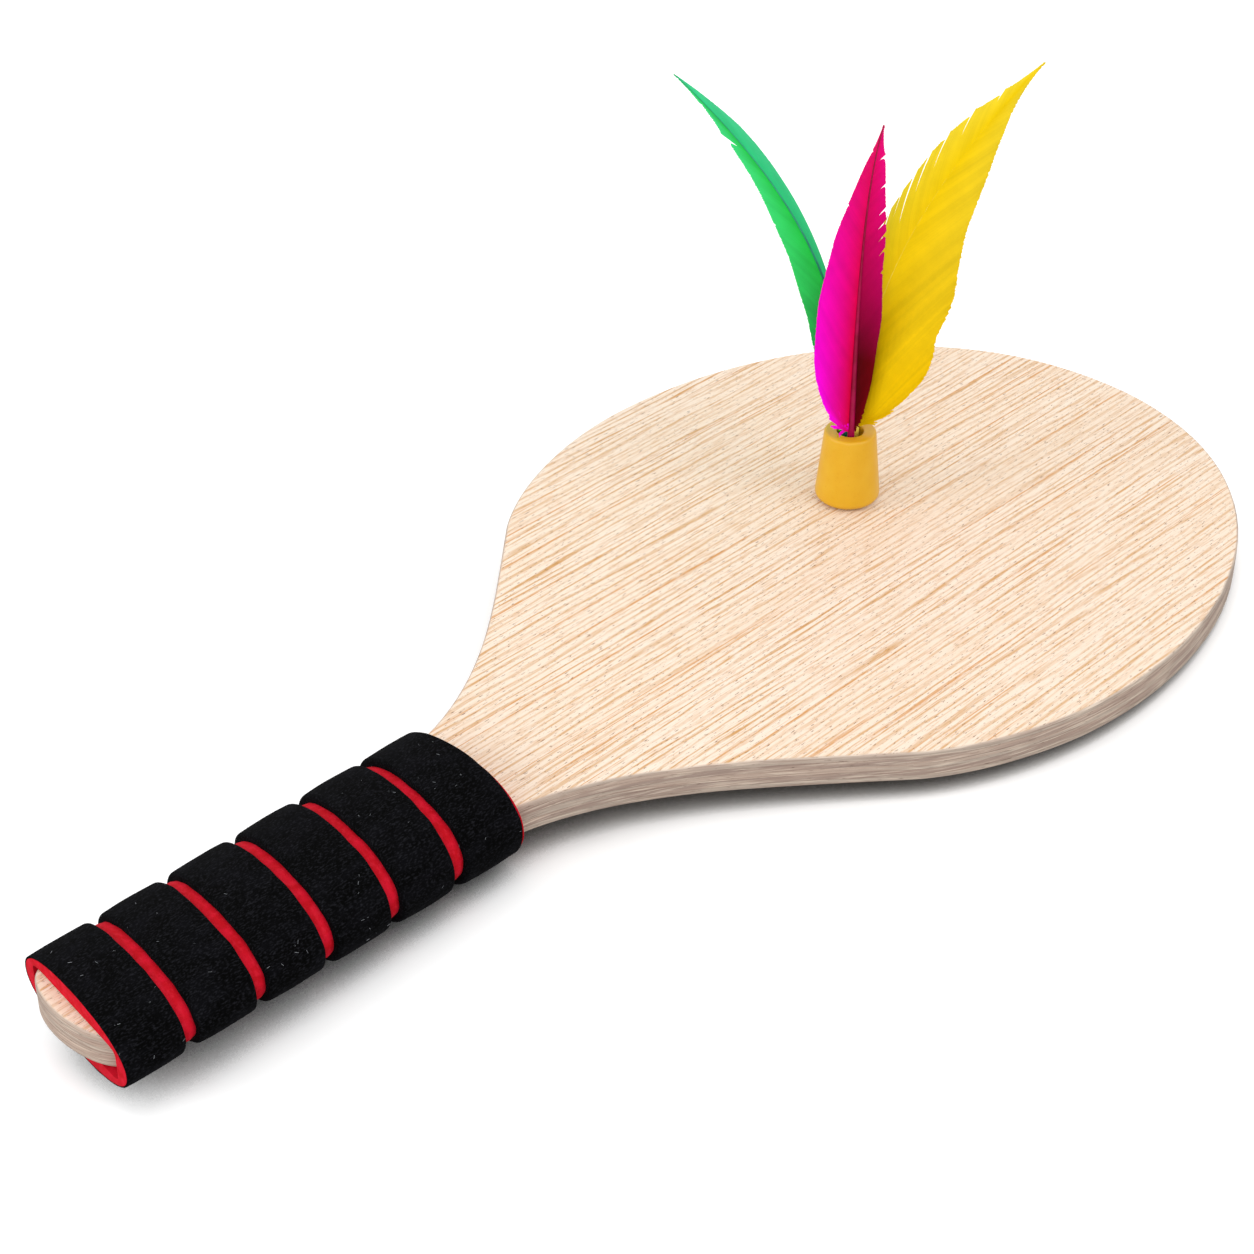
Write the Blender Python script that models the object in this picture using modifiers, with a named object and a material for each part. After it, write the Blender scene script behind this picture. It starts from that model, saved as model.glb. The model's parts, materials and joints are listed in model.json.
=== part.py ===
"""Wooden racket set: a plywood paddle with a foam grip, and a shuttlecock with three feathers.

Lengths are in metres, and +Z is up. The racket is drawn in its own frame: +X runs to the blade's tip,
X = 0 is the widest place of the head, and Z = 0 is the blade's upper face. The whole set hangs on one
empty, which leans it by the small angle at which the racket lies on a table and puts it on Z = 0.
"""

import math

import bmesh
import bpy
from mathutils import Quaternion, Vector

# Outline of the head, seen from above. A pull is the length of a Bezier handle.
HEAD_WIDTH = 0.190
TIP_REACH = 0.114
TIP_PULL = 0.057
FRONT_PULL = 0.0595
REAR_PULL = 0.037

# Shoulder, where the outline turns from the head into the neck.
SHOULDER_SETBACK = 0.0684
SHOULDER_HALF_WIDTH = 0.0729
SHOULDER_SLOPE = math.radians(41.0)
SHOULDER_FRONT_PULL = 0.0086
SHOULDER_REAR_PULL = 0.0437

# Handle: the straight tongue of the blade that carries the grip. At its butt it is a little off the
# middle line of the head, to the left.
NECK_SETBACK = 0.169
NECK_PULL = 0.0393
HANDLE_WIDTH = 0.032
HANDLE_REACH = 0.271
HANDLE_DRIFT = 0.0021
BUTT_CROWN = 0.007

# Plywood: thin veneers with a glue line between them, named from the upper face down.
PLY_NAMES = ("face_veneer", "upper_crossband", "core_veneer", "lower_crossband", "back_veneer")
PLY_THICKNESS = 0.00165
GLUE_LINE = 0.00015
ARRIS_RADIUS = 0.0012

# Foam grip: a red sleeve stretched over the handle, with a black skin that grooves part into bands.
# It is flatter at the butt than at the neck, and all behind its front end sits a little askew. The tip
# of the handle shows behind it.
HANDLE_STUB = 0.0037
GRIP_LENGTH = 0.1141
GRIP_SETBACK = HANDLE_REACH - HANDLE_STUB - GRIP_LENGTH
SLEEVE_SIDE_WALL = 0.0022
NECK_FACE_WALL = 0.0065
BUTT_FACE_WALL = 0.0032
SKEW = 0.12
BAND_COUNT = 6
BAND_WALL = 0.0020
BAND_EDGE_RADIUS = 0.0013
GROOVE_WIDTH = 0.0035
OVAL_FULLNESS = 0.61
FOAM_GAP = 0.0003

# Shuttlecock: its place on the blade, and a tapered rubber base with a blind socket.
SHUTTLE_X = 0.0102
SHUTTLE_Y = 0.0157
STANDING_GAP = 0.0003
FOOT_DIAMETER = 0.0182
RIM_DIAMETER = 0.0146
BASE_HEIGHT = 0.0215
FOOT_FILLET = 0.0022
RIM_FILLET = 0.0008
SOCKET_DIAMETER = 0.0073
SOCKET_DEPTH = 0.013

# Glue plug that holds the quills in the socket.
PLUG_SETBACK = 0.003
PLUG_GAP = 0.0002
QUILL_DIAMETER = 0.0020
QUILL_CIRCLE_RADIUS = 0.00175

# Feathers: each rises from the socket's mouth and leans out more and more towards its tip. A vane has
# its greatest width, and the share of the feather's length at which it has that width. Left and right
# are as seen from outside the shuttlecock.
GREEN_AZIMUTH = math.radians(106.0)
GREEN_RISE = 0.0941
GREEN_LEAN = 0.0545
GREEN_BOW = 0.0079
GREEN_TWIST = 0.0
GREEN_LEFT_VANE = (0.0131, 0.59)
GREEN_RIGHT_VANE = (0.0082, 0.35)
YELLOW_RISE = 0.0957
YELLOW_LEAN = 0.0563
YELLOW_BOW = 0.0096
YELLOW_TWIST = math.radians(-35.0)
YELLOW_LEFT_VANE = (0.0180, 0.34)
YELLOW_RIGHT_VANE = (0.0128, 0.43)
MAGENTA_RISE = 0.1057
MAGENTA_LEAN = 0.0292
MAGENTA_BOW = -0.0045
MAGENTA_TWIST = 0.0
MAGENTA_LEFT_VANE = (0.0134, 0.29)
MAGENTA_RIGHT_VANE = (0.0060, 0.40)
VANE_START = 0.003
VANE_THICKNESS = 0.0005
VANE_SWELL = 0.65
VANE_FOOT = 0.7
RACHIS_TIP_DIAMETER = 0.0007
BLUNT_TIP = 0.005
ROOT_CUP = math.radians(36.0)
TIP_CUP = math.radians(16.0)
FEATHER_COUNT = 3

# Smoothness of the facets.
OUTLINE_STEPS = 14
OVAL_STEPS = 10
ROUNDING_STEPS = 3
ARRIS_STEPS = 2
TURNING_STEPS = 32
HOLE_STEPS = 5
FEATHER_STATIONS = 20
SHARP_ANGLE = math.radians(40.0)
FLAT_ANGLE = math.radians(0.5)
WELD_REACH = 1e-6
HALVINGS = 40
TANGENT_STEP = 0.001

# Bezier handle of a quarter circle with radius 1.
QUARTER_ARC = 4.0 / 3.0 * (math.sqrt(2.0) - 1.0)

BLADE_THICKNESS = len(PLY_NAMES) * PLY_THICKNESS + (len(PLY_NAMES) - 1) * GLUE_LINE
BLADE_MIDDLE = -BLADE_THICKNESS / 2


def clear_scene():
    """Remove whatever the open file holds."""
    for thing in list(bpy.data.objects):
        bpy.data.objects.remove(thing, do_unlink=True)


def add_collection(name):
    """Add a collection to the scene."""
    collection = bpy.data.collections.new(name)
    bpy.context.scene.collection.children.link(collection)
    return collection


def make_material(name, colour, roughness):
    """A plain Principled material in the colour of the real piece."""
    material = bpy.data.materials.new(name)
    material.use_nodes = True
    shader = material.node_tree.nodes["Principled BSDF"]
    shader.inputs["Base Color"].default_value = (*colour, 1.0)
    shader.inputs["Roughness"].default_value = roughness
    shader.inputs["Metallic"].default_value = 0.0
    material.diffuse_color = (*colour, 1.0)
    return material


def add_empty(name, parent=None, location=(0.0, 0.0, 0.0)):
    """An empty that carries other objects."""
    empty = bpy.data.objects.new(name, None)
    empty.location = location
    empty.parent = parent
    PARTS.objects.link(empty)
    return empty


def add_part(name, data, material, parent, location=(0.0, 0.0, 0.0)):
    """A named sub-part with its own material, carried by an empty."""
    part = bpy.data.objects.new(name, data)
    data.materials.clear()
    data.materials.append(material)
    part.location = location
    part.parent = parent
    PARTS.objects.link(part)
    return part


def flat_curve(name, steps, thickness):
    """A filled 2D curve that is extruded to the given thickness about its own plane."""
    curve = bpy.data.curves.new(name, "CURVE")
    curve.dimensions = "2D"
    curve.fill_mode = "BOTH"
    curve.resolution_u = steps
    curve.render_resolution_u = steps
    curve.extrude = thickness / 2
    return curve


def add_loop(curve, knots):
    """Add a closed Bezier spline. Each knot is its point and its two handle points."""
    spline = curve.splines.new("BEZIER")
    spline.bezier_points.add(len(knots) - 1)
    for bezier_point, (point, before, after) in zip(spline.bezier_points, knots):
        bezier_point.handle_left_type = "FREE"
        bezier_point.handle_right_type = "FREE"
        bezier_point.co = (*point, 0.0)
        bezier_point.handle_left = (*before, 0.0)
        bezier_point.handle_right = (*after, 0.0)
    spline.use_cyclic_u = True
    return spline


def add_oval(curve, centre, half_width, half_height, fullness):
    """Add a closed oval. A fullness of QUARTER_ARC is an ellipse, and more is squarer."""
    x, y = centre
    knots = []
    for across, up in ((1, 0), (0, 1), (-1, 0), (0, -1)):
        point = Vector((x + across * half_width, y + up * half_height))
        pull = fullness * Vector((-up * half_width, across * half_height))
        knots.append((point, point - pull, point + pull))
    return add_loop(curve, knots)


def mesh_of(thing):
    """The evaluated shape of an object as a mesh of its own, with the loose caps welded on."""
    bpy.context.view_layer.update()
    evaluated = thing.evaluated_get(bpy.context.evaluated_depsgraph_get())
    mesh = bpy.data.meshes.new_from_object(evaluated)
    shape = bmesh.new()
    shape.from_mesh(mesh)
    bmesh.ops.remove_doubles(shape, verts=shape.verts, dist=WELD_REACH)
    shape.to_mesh(mesh)
    shape.free()
    return mesh


def handle_drift(along):
    """How far the middle line of the handle is to the left at a place along the racket."""
    share = (-GRIP_SETBACK - along) / (HANDLE_REACH - GRIP_SETBACK)
    return HANDLE_DRIFT * max(0.0, share)


def racket_knots():
    """The left half of the racket's outline from tip to butt, then the same points mirrored."""
    tip = Vector((TIP_REACH, 0.0))
    widest = Vector((0.0, HEAD_WIDTH / 2))
    shoulder = Vector((-SHOULDER_SETBACK, SHOULDER_HALF_WIDTH))
    forward = Vector((math.cos(SHOULDER_SLOPE), math.sin(SHOULDER_SLOPE)))
    neck = Vector((-NECK_SETBACK, HANDLE_WIDTH / 2))
    corner = Vector((BUTT_CROWN - HANDLE_REACH, HANDLE_WIDTH / 2))
    butt = Vector((-HANDLE_REACH, 0.0))
    straight = (neck - corner) / 3
    left = [
        (widest, widest + Vector((FRONT_PULL, 0.0)), widest - Vector((REAR_PULL, 0.0))),
        (shoulder, shoulder + forward * SHOULDER_FRONT_PULL, shoulder - forward * SHOULDER_REAR_PULL),
        (neck, neck + Vector((NECK_PULL, 0.0)), neck - straight),
        (corner, corner + straight, corner - Vector((QUARTER_ARC * BUTT_CROWN, 0.0))),
    ]
    right = [tuple(Vector((p.x, -p.y)) for p in (point, after, before)) for point, before, after in left]
    tip_pull = Vector((0.0, TIP_PULL))
    butt_pull = Vector((0.0, QUARTER_ARC * HANDLE_WIDTH / 2))
    front = (tip, tip - tip_pull, tip + tip_pull)
    back = (butt, butt + butt_pull, butt - butt_pull)
    knots = [front, *left, back, *reversed(right)]
    return [tuple(Vector((p.x, p.y + handle_drift(p.x))) for p in knot) for knot in knots]


def bezier_at(share, start, pull_start, pull_end, end):
    """The point of a cubic Bezier curve at a share of its length, from 0 to 1."""
    rest = 1.0 - share
    return (
        start * rest**3
        + pull_start * 3 * rest**2 * share
        + pull_end * 3 * rest * share**2
        + end * share**3
    )


def neck_half_width(setback):
    """The half width of the neck at a distance behind the widest place of the head."""
    _, _, shoulder, neck = racket_knots()[:4]
    curve = (shoulder[0], shoulder[2], neck[1], neck[0])
    if setback >= NECK_SETBACK:
        return HANDLE_WIDTH / 2
    low = 0.0
    high = 1.0
    for _ in range(HALVINGS):
        middle = (low + high) / 2
        if -bezier_at(middle, *curve).x < setback:
            low = middle
        else:
            high = middle
    return bezier_at(low, *curve).y


def ease_arris(mesh, outer_level):
    """Round the edge of a veneer all round its outer face, which lies at the given height."""
    shape = bmesh.new()
    shape.from_mesh(mesh)
    bmesh.ops.dissolve_limit(shape, angle_limit=FLAT_ANGLE, verts=shape.verts, edges=shape.edges)
    rim = []
    for edge in shape.edges:
        if all(abs(vert.co.z - outer_level) < WELD_REACH for vert in edge.verts):
            rim.append(edge)
    bmesh.ops.bevel(shape, geom=rim, offset=ARRIS_RADIUS, segments=ARRIS_STEPS, profile=0.5, affect="EDGES")
    shape.to_mesh(mesh)
    shape.free()


def build_plywood(racket):
    """Five veneers of the whole racket outline, with rounded edges on the two outer faces."""
    pale = make_material("straight_grained_veneer", (0.87, 0.70, 0.53), 0.55)
    cross = make_material("crossband_veneer", (0.46, 0.35, 0.26), 0.75)
    for index, name in enumerate(PLY_NAMES):
        curve = flat_curve(name, OUTLINE_STEPS, PLY_THICKNESS)
        add_loop(curve, racket_knots())
        level = -PLY_THICKNESS / 2 - index * (PLY_THICKNESS + GLUE_LINE)
        material = cross if index % 2 else pale
        veneer = add_part(name, curve, material, racket, (0.0, 0.0, level))
        if index in (0, len(PLY_NAMES) - 1):
            mesh = mesh_of(veneer)
            bpy.data.objects.remove(veneer, do_unlink=True)
            outer_side = 1 if index == 0 else -1
            ease_arris(mesh, outer_side * PLY_THICKNESS / 2)
            add_part(name, mesh, material, racket, (0.0, 0.0, level))


def slot_sizes():
    """Half width and half height of the sleeve's slot, which clears the handle."""
    return neck_half_width(GRIP_SETBACK) + FOAM_GAP, BLADE_THICKNESS / 2 + FOAM_GAP


def sleeve_sizes():
    """Half width and half height of the sleeve's oval outside, at its neck end."""
    slot_half_width, slot_half_height = slot_sizes()
    return slot_half_width + SLEEVE_SIDE_WALL, slot_half_height + NECK_FACE_WALL


def slot_knots(half_width, half_height, radius):
    """A rectangle with rounded corners, as Bezier knots in order round the slot."""
    bend = QUARTER_ARC * radius
    knots = []
    for across, up in ((1, 1), (-1, 1), (-1, -1), (1, -1)):
        side = Vector((across * half_width, up * (half_height - radius)))
        face = Vector((across * (half_width - radius), up * half_height))
        on_side = (side, side - Vector((0.0, up * radius)), side + Vector((0.0, up * bend)))
        on_face = (face, face + Vector((across * bend, 0.0)), face - Vector((across * radius, 0.0)))
        if across * up > 0:
            knots += [on_side, on_face]
        else:
            knots += [(p, b, a) for p, a, b in (on_face, on_side)]
    return knots


def add_foam(name, curve, material, racket, middle):
    """Add a piece of the grip, drawn across the handle, with the grip's flattening, skew and drift.

    The piece is drawn in its local XY plane with its length along local Z, and its middle lies at the
    given place along the handle. The slot keeps the size of the handle.
    """
    drawn = add_part(name, curve, material, racket)
    mesh = mesh_of(drawn)
    bpy.data.objects.remove(drawn, do_unlink=True)
    slot_side, slot_face = (size + FOAM_GAP / 2 for size in slot_sizes())
    flattening = (NECK_FACE_WALL - BUTT_FACE_WALL) / sleeve_sizes()[1]
    for vert in mesh.vertices:
        along = middle + vert.co.z
        share = (-GRIP_SETBACK - along) / GRIP_LENGTH
        outside_slot = abs(vert.co.x) > slot_side or abs(vert.co.y) > slot_face
        if outside_slot:
            vert.co.y *= 1.0 - flattening * share
        vert.co.z += SKEW * min(1.0, share * BAND_COUNT) * vert.co.x
        vert.co.x += handle_drift(along)
    mesh.shade_smooth()
    mesh.set_sharp_from_angle(angle=SHARP_ANGLE)
    foam = add_part(name, mesh, material, racket, (middle, 0.0, BLADE_MIDDLE))
    foam.rotation_euler = (math.pi / 2, 0.0, math.pi / 2)


def build_sleeve(racket):
    """The red foam sleeve: an oval tube with a slot for the handle."""
    red = make_material("red_foam", (0.75, 0.01, 0.03), 0.85)
    curve = flat_curve("grip_sleeve", OVAL_STEPS, GRIP_LENGTH)
    add_oval(curve, (0.0, 0.0), *sleeve_sizes(), OVAL_FULLNESS)
    add_loop(curve, slot_knots(*slot_sizes(), ARRIS_RADIUS + FOAM_GAP))
    add_foam("grip_sleeve", curve, red, racket, -GRIP_SETBACK - GRIP_LENGTH / 2)


def band_profile(length):
    """Guide curve: the section of a band, flat inside and rounded at its two outer edges."""
    inner = FOAM_GAP
    outer = FOAM_GAP + BAND_WALL
    points = [(inner, -length / 2)]
    for side in (-1, 1):
        for step in range(ROUNDING_STEPS):
            turn = math.pi / 2 * step / (ROUNDING_STEPS - 1)
            if side > 0:
                turn = math.pi / 2 - turn
            away = outer - BAND_EDGE_RADIUS + BAND_EDGE_RADIUS * math.sin(turn)
            along = length / 2 - BAND_EDGE_RADIUS + BAND_EDGE_RADIUS * math.cos(turn)
            points.append((away, side * along))
    points.append((inner, length / 2))
    curve = bpy.data.curves.new("band_section", "CURVE")
    curve.dimensions = "2D"
    curve.fill_mode = "NONE"
    spline = curve.splines.new("POLY")
    spline.points.add(len(points) - 1)
    for spline_point, (away, along) in zip(spline.points, points):
        spline_point.co = (-away, along, 0.0, 1.0)
    spline.use_cyclic_u = True
    guide = bpy.data.objects.new("band_section", curve)
    guide.hide_render = True
    guide.display_type = "WIRE"
    GUIDES.objects.link(guide)
    return guide


def build_bands(racket):
    """The black skin: one ring for each band, swept round the sleeve."""
    black = make_material("black_foam", (0.006, 0.006, 0.007), 0.95)
    length = (GRIP_LENGTH - (BAND_COUNT - 1) * GROOVE_WIDTH) / BAND_COUNT
    guide = band_profile(length)
    for index in range(BAND_COUNT):
        name = f"grip_band_{index + 1}"
        path = bpy.data.curves.new(name, "CURVE")
        path.dimensions = "2D"
        path.fill_mode = "NONE"
        path.resolution_u = OVAL_STEPS
        path.render_resolution_u = OVAL_STEPS
        path.bevel_mode = "OBJECT"
        path.bevel_object = guide
        add_oval(path, (0.0, 0.0), *sleeve_sizes(), OVAL_FULLNESS)
        add_foam(name, path, black, racket, -GRIP_SETBACK - length / 2 - index * (length + GROOVE_WIDTH))


def turned_part(name, profile, material, parent):
    """A solid of revolution about Z, from a profile of (radius, height) points."""
    mesh = bpy.data.meshes.new(name)
    edges = [(index, index + 1) for index in range(len(profile) - 1)]
    mesh.from_pydata([(radius, 0.0, height) for radius, height in profile], edges, [])
    part = add_part(name, mesh, material, parent)
    screw = part.modifiers.new("turn", "SCREW")
    screw.axis = "Z"
    screw.angle = 2 * math.pi
    screw.steps = TURNING_STEPS
    screw.render_steps = TURNING_STEPS
    screw.use_merge_vertices = True
    screw.merge_threshold = WELD_REACH
    screw.use_smooth_shade = True
    return part


def fillet(centre, radius, start, end):
    """Points of a rounding in a turned profile, from one angle to another."""
    points = []
    for step in range(ROUNDING_STEPS + 1):
        turn = start + (end - start) * step / ROUNDING_STEPS
        points.append((centre[0] + radius * math.cos(turn), centre[1] + radius * math.sin(turn)))
    return points


def build_base(shuttle):
    """The rubber base: a blunt cone with a flat foot, rounded edges and a blind socket."""
    rubber = make_material("yellow_rubber", (0.80, 0.42, 0.05), 0.5)
    socket_radius = SOCKET_DIAMETER / 2
    foot_centre = (FOOT_DIAMETER / 2 - FOOT_FILLET, FOOT_FILLET)
    rim_centre = (RIM_DIAMETER / 2 - RIM_FILLET, BASE_HEIGHT - RIM_FILLET)
    floor = BASE_HEIGHT - SOCKET_DEPTH
    profile = [(0.0, floor), (socket_radius, floor), (socket_radius, BASE_HEIGHT)]
    profile += fillet(rim_centre, RIM_FILLET, math.pi / 2, 0.0)
    profile += fillet(foot_centre, FOOT_FILLET, 0.0, -math.pi / 2)
    profile.append((0.0, 0.0))
    turned_part("shuttle_base", profile, rubber, shuttle)


def quill_place(azimuth):
    """Where a quill stands in the socket, seen from above."""
    return Vector((math.cos(azimuth), math.sin(azimuth))) * QUILL_CIRCLE_RADIUS


def feather_azimuths():
    """The way each feather leans: green first, then yellow and magenta, evenly round the base."""
    step = 2 * math.pi / FEATHER_COUNT
    return [GREEN_AZIMUTH - step * index for index in range(FEATHER_COUNT)]


def build_plug(shuttle):
    """The glue in the socket, moulded round the quills."""
    glue = make_material("hardened_glue", (0.55, 0.45, 0.25), 0.4)
    floor = BASE_HEIGHT - SOCKET_DEPTH + STANDING_GAP
    depth = BASE_HEIGHT - PLUG_SETBACK - floor
    radius = SOCKET_DIAMETER / 2 - PLUG_GAP
    curve = flat_curve("quill_glue_plug", HOLE_STEPS, depth)
    add_oval(curve, (0.0, 0.0), radius, radius, QUARTER_ARC)
    hole = QUILL_DIAMETER / 2 + PLUG_GAP
    for azimuth in feather_azimuths():
        add_oval(curve, quill_place(azimuth), hole, hole, QUARTER_ARC)
    add_part("quill_glue_plug", curve, glue, shuttle, (0.0, 0.0, floor + depth / 2))


def vane_width(vane, share):
    """The width of a vane at a share of its length, rounded at the foot and drawn out to the tip."""
    width, widest = vane
    taper = VANE_SWELL * (1.0 - widest) / widest
    return width * (share / widest) ** VANE_SWELL * ((1.0 - share) / (1.0 - widest)) ** taper


def feather_section(quill_radius, left, right, cup):
    """A section as (across, out) points: a round quill with a thin vane on each side, cupped outwards."""
    foot = VANE_FOOT * quill_radius
    stops = [-left, -(left + foot) / 2, -foot, 0.0, foot, (right + foot) / 2, right]
    outside = []
    inside = []
    for stop in stops:
        half = max(VANE_THICKNESS / 2, math.sqrt(max(0.0, quill_radius**2 - stop**2)))
        away = abs(stop)
        across = stop * math.cos(cup)
        out = away * math.sin(cup)
        lean = math.copysign(math.sin(cup), stop) if away else 0.0
        upright = math.cos(cup) if away else 1.0
        outside.append((across - lean * half, out + upright * half))
        inside.append((across + lean * half, out - upright * half))
    return outside + inside[::-1]


def build_feather(name, shuttle, material, azimuth, rise, lean, bow, twist, left_vane, right_vane):
    """One feather: a quill in the socket, and a vane on a rachis that curves away from the axis."""
    outward = Vector((math.cos(azimuth), math.sin(azimuth), 0.0))
    sideways = Vector((0.0, 0.0, 1.0)).cross(outward)
    place = quill_place(azimuth)
    mouth = Vector((place.x, place.y, BASE_HEIGHT))
    end = Vector((place.x, place.y, BASE_HEIGHT - SOCKET_DEPTH + STANDING_GAP))
    up = Vector((0.0, 0.0, rise))
    rachis = (mouth, mouth + up / 3, mouth + up * 2 / 3 + outward * bow, mouth + up + outward * lean)
    quill_radius = QUILL_DIAMETER / 2
    tip_radius = RACHIS_TIP_DIAMETER / 2
    start = VANE_START / rise
    shape = bmesh.new()
    rings = []
    shares = [0.0] + [start + (1.0 - start) * step / FEATHER_STATIONS for step in range(FEATHER_STATIONS)]
    shares.append(1.0 - BLUNT_TIP)
    sections = [(end, Vector((0.0, 0.0, 1.0)), 0.0)]
    for share in shares:
        point = bezier_at(share, *rachis)
        ahead = bezier_at(share + TANGENT_STEP, *rachis)
        sections.append((point, (ahead - point).normalized(), share))
    for point, along, share in sections:
        radius = quill_radius + (tip_radius - quill_radius) * share
        vane_share = max(0.0, share - start) / (1.0 - start)
        left = radius + vane_width(left_vane, vane_share)
        right = radius + vane_width(right_vane, vane_share)
        cup = ROOT_CUP + (TIP_CUP - ROOT_CUP) * share
        normal = sideways.cross(along).normalized()
        turn = Quaternion(along, -twist * share)
        ring = []
        for across, out in feather_section(radius, left, right, cup):
            ring.append(shape.verts.new(point + turn @ (sideways * across + normal * out)))
        rings.append(ring)
    for lower, upper in zip(rings, rings[1:]):
        for index in range(len(lower)):
            after = (index + 1) % len(lower)
            shape.faces.new((lower[index], lower[after], upper[after], upper[index]))
    shape.faces.new(rings[0])
    shape.faces.new(rings[-1])
    bmesh.ops.recalc_face_normals(shape, faces=shape.faces)
    mesh = bpy.data.meshes.new(name)
    shape.to_mesh(mesh)
    shape.free()
    mesh.shade_smooth()
    add_part(name, mesh, material, shuttle)


def build_feathers(shuttle):
    """Three dyed feathers, a third of a turn apart."""
    green, yellow, magenta = feather_azimuths()
    build_feather(
        "green_feather", shuttle, make_material("green_feather", (0.03, 0.63, 0.08), 0.6), green,
        GREEN_RISE, GREEN_LEAN, GREEN_BOW, GREEN_TWIST, GREEN_LEFT_VANE, GREEN_RIGHT_VANE,
    )
    build_feather(
        "yellow_feather", shuttle, make_material("yellow_feather", (0.88, 0.58, 0.01), 0.6), yellow,
        YELLOW_RISE, YELLOW_LEAN, YELLOW_BOW, YELLOW_TWIST, YELLOW_LEFT_VANE, YELLOW_RIGHT_VANE,
    )
    build_feather(
        "magenta_feather", shuttle, make_material("magenta_feather", (0.85, 0.0, 0.30), 0.6), magenta,
        MAGENTA_RISE, MAGENTA_LEAN, MAGENTA_BOW, MAGENTA_TWIST, MAGENTA_LEFT_VANE, MAGENTA_RIGHT_VANE,
    )


def lean_angle():
    """The angle at which the racket lies on the rounded edges of its first band and of its tip."""
    grip_bottom = BLADE_MIDDLE - sleeve_sizes()[1] - FOAM_GAP - BAND_WALL
    band_centre = Vector((-GRIP_SETBACK - BAND_EDGE_RADIUS, grip_bottom + BAND_EDGE_RADIUS))
    tip_centre = Vector((TIP_REACH - ARRIS_RADIUS, -BLADE_THICKNESS + ARRIS_RADIUS))
    between = tip_centre - band_centre
    return math.atan2(between.y, between.x) + math.asin((BAND_EDGE_RADIUS - ARRIS_RADIUS) / between.length)


def set_down(racket):
    """Lean the set as it lies, with the middle of its base at the origin."""
    racket.rotation_euler = (0.0, lean_angle(), 0.0)
    bpy.context.view_layer.update()
    depsgraph = bpy.context.evaluated_depsgraph_get()
    low = Vector((math.inf,) * 3)
    high = Vector((-math.inf,) * 3)
    for part in PARTS.objects:
        if part.type == "EMPTY":
            continue
        evaluated = part.evaluated_get(depsgraph)
        for vert in evaluated.to_mesh().vertices:
            place = evaluated.matrix_world @ vert.co
            low = Vector(map(min, low, place))
            high = Vector(map(max, high, place))
        evaluated.to_mesh_clear()
    racket.location -= Vector(((low.x + high.x) / 2, (low.y + high.y) / 2, low.z))
    bpy.context.view_layer.update()


clear_scene()
PARTS = add_collection("wooden_racket_set")
GUIDES = add_collection("guides")
racket_rest = add_empty("racket_rest")
build_plywood(racket_rest)
build_sleeve(racket_rest)
build_bands(racket_rest)
shuttle_stand = add_empty("shuttle_stand", racket_rest, (SHUTTLE_X, SHUTTLE_Y, STANDING_GAP))
build_base(shuttle_stand)
build_plug(shuttle_stand)
build_feathers(shuttle_stand)
set_down(racket_rest)
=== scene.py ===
import json
import math
import random

import bmesh
import bpy
from mathutils import Matrix, Quaternion, Vector, noise


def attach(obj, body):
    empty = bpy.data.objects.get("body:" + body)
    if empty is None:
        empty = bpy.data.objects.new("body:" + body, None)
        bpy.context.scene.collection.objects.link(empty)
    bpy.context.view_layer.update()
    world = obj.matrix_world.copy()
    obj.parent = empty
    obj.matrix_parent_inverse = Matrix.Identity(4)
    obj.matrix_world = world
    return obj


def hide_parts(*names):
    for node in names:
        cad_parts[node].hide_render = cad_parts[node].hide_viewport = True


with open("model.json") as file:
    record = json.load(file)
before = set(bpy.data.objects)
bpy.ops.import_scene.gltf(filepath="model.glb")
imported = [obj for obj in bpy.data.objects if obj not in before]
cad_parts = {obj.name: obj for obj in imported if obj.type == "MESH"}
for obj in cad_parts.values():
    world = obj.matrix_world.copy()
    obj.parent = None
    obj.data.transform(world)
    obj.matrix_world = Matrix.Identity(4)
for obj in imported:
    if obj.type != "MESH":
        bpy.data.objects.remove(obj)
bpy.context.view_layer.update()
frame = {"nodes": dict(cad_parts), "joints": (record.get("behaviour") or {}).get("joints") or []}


# Plywood: five thin veneers of a pale, straight-grained wood, glued crosswise and sawn to the outline
# of the racket in one go, with the outer edges sanded round. The racket lies on the tip of its head
# and on its thicker grip, so the blade leans a little.
MM = 0.001
BLADE_NORMAL = Vector(frame["joints"][0]["axis"])
RACKET_LEAN = math.atan2(BLADE_NORMAL.x, BLADE_NORMAL.z)
RACKET_PLACE = Vector((0.078605, 0.0, 0.012683))
racket = Matrix.Translation(RACKET_PLACE) @ Matrix.Rotation(RACKET_LEAN, 4, "Y") @ Matrix.Scale(MM, 4)

# The left half of the outline from tip to butt, as Bezier spans of (along, across) millimetres. The
# handle is a little off the middle line of the head at its butt.
OUTLINE_SPANS = (
    ((114.0, 0.0), (114.0, 57.0), (59.5, 95.0), (0.0, 95.0)),
    ((0.0, 95.0), (-37.0, 95.0), (-61.91, 78.54), (-68.4, 72.9)),
    ((-68.4, 72.9), (-101.38, 44.23), (-129.7, 16.0), (-169.0, 16.0)),
    ((-169.0, 16.0), (-200.67, 16.0), (-232.33, 16.0), (-264.0, 16.0)),
    ((-264.0, 16.0), (-267.87, 16.0), (-271.0, 8.84), (-271.0, 0.0)),
)
OUTLINE_STEPS = 26
GRIP_FRONT = -153.2
HANDLE_END = -271.0
HANDLE_DRIFT = 2.1
PLY_NAMES = ("face_veneer", "upper_crossband", "core_veneer", "lower_crossband", "back_veneer")
PLY_PITCH = 1.8
PLY_THICKNESS = 1.74
BLADE_THICKNESS = 8.85
ARRIS_RADIUS = 0.7
ARRIS_STEPS = 6
ARRIS_WANDER = 0.22
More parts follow.
